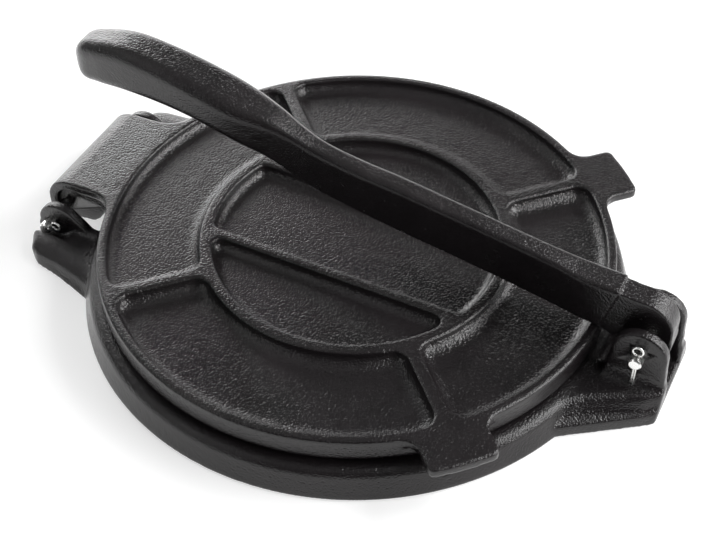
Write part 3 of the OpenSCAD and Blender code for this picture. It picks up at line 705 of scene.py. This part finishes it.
def cotter(node, steel, x, y, z, leg, longer, tilt):
    """A split cotter: two legs through the pin, one a little longer, and an eye above it."""
    half = LEG_D / 2 - LEG_GAP / 2
    neck = PIN_R + EYE_LIFT
    eye_z = neck + EYE_R + LEG_D / 2
    opening = math.degrees(math.asin(half / EYE_R))
    eye = arc(0, eye_z, EYE_R, 270 + opening, 270 - opening + 360, steps=40)
    path = [(half, -leg), (half, neck)] + eye + [(-half, neck), (-half, -leg - longer)]
    obj = wire(node + "_wire", [(0, py, pz) for py, pz in path], LEG_D / 2)
    obj.data.transform(Matrix.Translation((x, y, z)) @ Matrix.Rotation(math.radians(tilt), 4, "X"))
    obj.data.shade_smooth()
    settle(obj, "base", steel, node)


def cotters(steel):
    for side, name in ((-1, "left"), (1, "right")):
        cotter("hinge_cotter_" + name, steel, side * (EAR_OUT + COTTER_OUT), HINGE_Y, HINGE_Z,
               HINGE_LEG, 0, HINGE_COTTER_TILT)
        cotter("lever_cotter_" + name, steel, side * (CLEVIS_OUT + COTTER_OUT), PIVOT_Y, PIVOT_Z,
               LEVER_LEG, LEVER_LEG_EXTRA, 0)


def pins(steel):
    """The two pins are the frame's own solids, with a new finish."""
    for pin in ("hinge_pin", "lever_pin"):
        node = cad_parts[pin]
        node.data.materials.clear()
        node.data.materials.append(steel)


def grey(value):
    return value, value, value, 1


def warm_black(value):
    return value * 1.12, value * 0.92, value, 1


def new_material(name):
    """An empty material, its node tree and its output node."""
    mat = bpy.data.materials.new(name)
    mat.use_nodes = True
    tree = mat.node_tree
    tree.nodes.clear()
    return mat, tree, tree.nodes.new("ShaderNodeOutputMaterial")


def feed(tree, socket, value):
    """Gives a socket a plain number, or links it to where its value comes from."""
    if isinstance(value, (int, float)):
        socket.default_value = value
    else:
        tree.links.new(value, socket)


def maths(tree, operation, *values):
    node = tree.nodes.new("ShaderNodeMath")
    node.operation = operation
    for socket, value in zip(node.inputs, values):
        feed(tree, socket, value)
    return node.outputs["Value"]


def how_far(tree, coords, operation, direction=(0, 0, 0)):
    """How far a place is from the middle, or how far it lies in a direction."""
    node = tree.nodes.new("ShaderNodeVectorMath")
    node.operation = operation
    tree.links.new(coords, node.inputs[0])
    node.inputs[1].default_value = direction
    return node.outputs["Value"]


def spread(tree, value, source, result):
    """A value carried from one range to another and held at its ends."""
    node = tree.nodes.new("ShaderNodeMapRange")
    tree.links.new(value, node.inputs["Value"])
    for socket, limit in zip(("From Min", "From Max", "To Min", "To Max"), source + result):
        node.inputs[socket].default_value = limit
    return node.outputs["Result"]


def ramp(tree, value, *stops):
    node = tree.nodes.new("ShaderNodeValToRGB")
    for element, (place, colour) in zip(node.color_ramp.elements, stops):
        element.position, element.color = place, colour
    tree.links.new(value, node.inputs["Fac"])
    return node.outputs["Color"]


def noise(tree, coords, scale, detail, rough=0.5):
    node = tree.nodes.new("ShaderNodeTexNoise")
    node.inputs["Scale"].default_value = scale
    node.inputs["Detail"].default_value = detail
    node.inputs["Roughness"].default_value = rough
    tree.links.new(coords, node.inputs["Vector"])
    return node.outputs["Fac"]


def sand(tree, coords, scale):
    """The height of closely packed domed grains."""
    node = tree.nodes.new("ShaderNodeTexVoronoi")
    node.inputs["Scale"].default_value = scale
    tree.links.new(coords, node.inputs["Vector"])
    away = node.outputs["Distance"]
    return maths(tree, "SUBTRACT", 1.0, maths(tree, "MULTIPLY", away, away))


def upright_fade(tree, normal, low):
    """1 on faces that look up or down, falling to a low value on the smoother upright walls."""
    split = tree.nodes.new("ShaderNodeSeparateXYZ")
    tree.links.new(normal, split.inputs["Vector"])
    return spread(tree, maths(tree, "ABSOLUTE", split.outputs["Z"]), (0.2, 0.7), (low, 1.0))


def bump(tree, height, strength, distance, below=None):
    """A bumpy normal, on top of another one if there is one below."""
    node = tree.nodes.new("ShaderNodeBump")
    feed(tree, node.inputs["Strength"], strength)
    node.inputs["Distance"].default_value = distance
    tree.links.new(height, node.inputs["Height"])
    if below:
        tree.links.new(below, node.inputs["Normal"])
    return node.outputs["Normal"]


def seasoned_iron(name, gloss, dull):
    """Sand-cast iron under a baked black coat: small domed grains, pits, soft lumps and an uneven sheen."""
    mat, tree, out = new_material(name)
    source = tree.nodes.new("ShaderNodeTexCoord")
    coords = source.outputs["Object"]
    shader = tree.nodes.new("ShaderNodeBsdfPrincipled")
    tree.links.new(shader.outputs["BSDF"], out.inputs["Surface"])
    shader.inputs["IOR"].default_value = 1.5
    blotch = noise(tree, coords, scale=38, detail=5, rough=0.65)
    colour = ramp(tree, blotch, (0.35, warm_black(0.007)), (0.65, warm_black(0.013)))
    tree.links.new(colour, shader.inputs["Base Color"])
    sheen = noise(tree, coords, scale=110, detail=6, rough=0.7)
    tree.links.new(ramp(tree, sheen, (0.3, grey(gloss)), (0.7, grey(dull))), shader.inputs["Roughness"])
    fade = upright_fade(tree, source.outputs["Normal"], 0.6)
    lumps = bump(tree, noise(tree, coords, scale=260, detail=2), 0.25, 0.4 * MM)
    pits = bump(tree, noise(tree, coords, scale=900, detail=2, rough=0.6), fade, 0.06 * MM, lumps)
    grains = bump(tree, sand(tree, coords, scale=1450), fade, 0.16 * MM, pits)
    tree.links.new(grains, shader.inputs["Normal"])
    return mat


def zinc_steel(name, mark_scale):
    """Bright zinc on steel, with faint drawing marks and a dull patch here and there."""
    mat, tree, out = new_material(name)
    coords = tree.nodes.new("ShaderNodeTexCoord").outputs["Object"]
    shader = tree.nodes.new("ShaderNodeBsdfPrincipled")
    tree.links.new(shader.outputs["BSDF"], out.inputs["Surface"])
    shader.inputs["Metallic"].default_value = 1.0
    patch = noise(tree, coords, scale=420, detail=4)
    colour = ramp(tree, patch, (0.35, (0.88, 0.88, 0.86, 1)), (0.65, (0.97, 0.97, 0.95, 1)))
    tree.links.new(colour, shader.inputs["Base Color"])
    tree.links.new(ramp(tree, patch, (0.3, grey(0.2)), (0.7, grey(0.34))), shader.inputs["Roughness"])
    marks = bump(tree, noise(tree, coords, scale=mark_scale, detail=3), 0.3, 0.04 * MM)
    tree.links.new(marks, shader.inputs["Normal"])
    return mat


def paper_floor(glow_seen, glow_front, glow_back):
    """A pale floor with the press's shadow on it, white further off, and a painted reflection: a glow that only
    the iron's reflections see, brighter behind the press.
    """
    bm = bmesh.new()
    bmesh.ops.create_grid(bm, x_segments=1, y_segments=1, size=6)
    floor = mesh_object(bm, "studio_floor")
    mat, tree, out = new_material("studio_paper")
    coords = tree.nodes.new("ShaderNodeTexCoord").outputs["Object"]
    # Painted reflection: this glow rises from front to back and shows only in glossy rays, so the iron mirrors
    # a brightness behind it that the floor does not have.
    towards_back = how_far(tree, coords, "DOT_PRODUCT", direction=(0.6, 0.8, 0))
    painted_reflection_glow = spread(tree, towards_back, (-0.3, 0.3), (glow_front, glow_back))
    seen_glow = spread(tree, how_far(tree, coords, "LENGTH"), (0.3, 1.6), (glow_seen, 1.0))
    path = tree.nodes.new("ShaderNodeLightPath")
    painted_reflection_glow = maths(tree, "MULTIPLY", path.outputs["Is Glossy Ray"], painted_reflection_glow)
    strength = maths(tree, "MULTIPLY_ADD", path.outputs["Is Camera Ray"], seen_glow, painted_reflection_glow)
    glow = tree.nodes.new("ShaderNodeEmission")
    tree.links.new(strength, glow.inputs["Strength"])
    paper = tree.nodes.new("ShaderNodeBsdfDiffuse")
    paper.inputs["Color"].default_value = grey(0.62)
    both = tree.nodes.new("ShaderNodeAddShader")
    tree.links.new(paper.outputs["BSDF"], both.inputs[0])
    tree.links.new(glow.outputs["Emission"], both.inputs[1])
    tree.links.new(both.outputs["Shader"], out.inputs["Surface"])
    floor.data.materials.append(mat)


def background(tree, strength):
    node = tree.nodes.new("ShaderNodeBackground")
    node.inputs["Color"].default_value = grey(1.0)
    node.inputs["Strength"].default_value = strength
    return node.outputs["Background"]


def studio_world(level):
    """A room that is white to the camera and lights the press only a little."""
    world = bpy.data.worlds.new("studio")
    bpy.context.scene.world = world
    world.use_nodes = True
    tree = world.node_tree
    tree.nodes.clear()
    out = tree.nodes.new("ShaderNodeOutputWorld")
    path = tree.nodes.new("ShaderNodeLightPath")
    mix = tree.nodes.new("ShaderNodeMixShader")
    tree.links.new(path.outputs["Is Camera Ray"], mix.inputs["Fac"])
    tree.links.new(background(tree, level), mix.inputs[1])
    tree.links.new(background(tree, 1.0), mix.inputs[2])
    tree.links.new(mix.outputs["Shader"], out.inputs["Surface"])


def panel(azimuth, elevation, brightness, size):
    """A soft rectangular lamp, aimed at the press from a direction counted from +X towards +Y."""
    name = "panel_%d_%d" % (azimuth, elevation)
    az, el = math.radians(azimuth), math.radians(elevation)
    place = PANEL_DISTANCE * Vector((math.cos(az) * math.cos(el), math.sin(az) * math.cos(el), math.sin(el)))
    data = bpy.data.lights.new(name, "AREA")
    data.shape = "RECTANGLE"
    data.size, data.size_y = size
    data.energy = brightness * math.pi * size[0] * size[1]
    lamp = linked(name, data)
    lamp.location = place
    lamp.rotation_euler = (-place).to_track_quat("-Z", "Y").to_euler()


def photo_camera():
    """The camera's place, angles and lens come from the plate's ellipses in the photo."""
    az, el, roll = (math.radians(angle) for angle in CAMERA_ANGLES)
    back = Vector((math.sin(az) * math.cos(el), -math.cos(az) * math.cos(el), math.sin(el)))
    right = Vector((math.cos(az), math.sin(az), 0))
    up = back.cross(right)
    across = math.cos(roll) * right + math.sin(roll) * up
    upward = math.cos(roll) * up - math.sin(roll) * right
    data = bpy.data.cameras.new("photo_camera")
    data.sensor_fit = "HORIZONTAL"
    data.sensor_width = 36.0
    data.lens = CAMERA_LENS
    camera = linked("photo_camera", data)
    camera.matrix_world = Matrix((across, upward, back)).transposed().to_4x4()
    camera.location = CAMERA_PLACE
    bpy.context.scene.camera = camera


base(seasoned_iron("base_iron_coat", gloss=0.15, dull=0.27))
upper_plate(seasoned_iron("plate_iron_coat", gloss=0.15, dull=0.27))
lever(seasoned_iron("lever_iron_coat", gloss=0.17, dull=0.29))
pins(zinc_steel("pin_zinc", mark_scale=900))
cotters(zinc_steel("cotter_zinc", mark_scale=1400))

paper_floor(glow_seen=0.55, glow_front=0.12, glow_back=1.3)
studio_world(level=0.07)
for place_and_brightness in BACK_PANELS:
    panel(*place_and_brightness, BACK_PANEL_SIZE)
for place_and_brightness in FRONT_PANELS:
    panel(*place_and_brightness, FRONT_PANEL_SIZE)
photo_camera()
bpy.context.scene.view_settings.view_transform = "Standard"
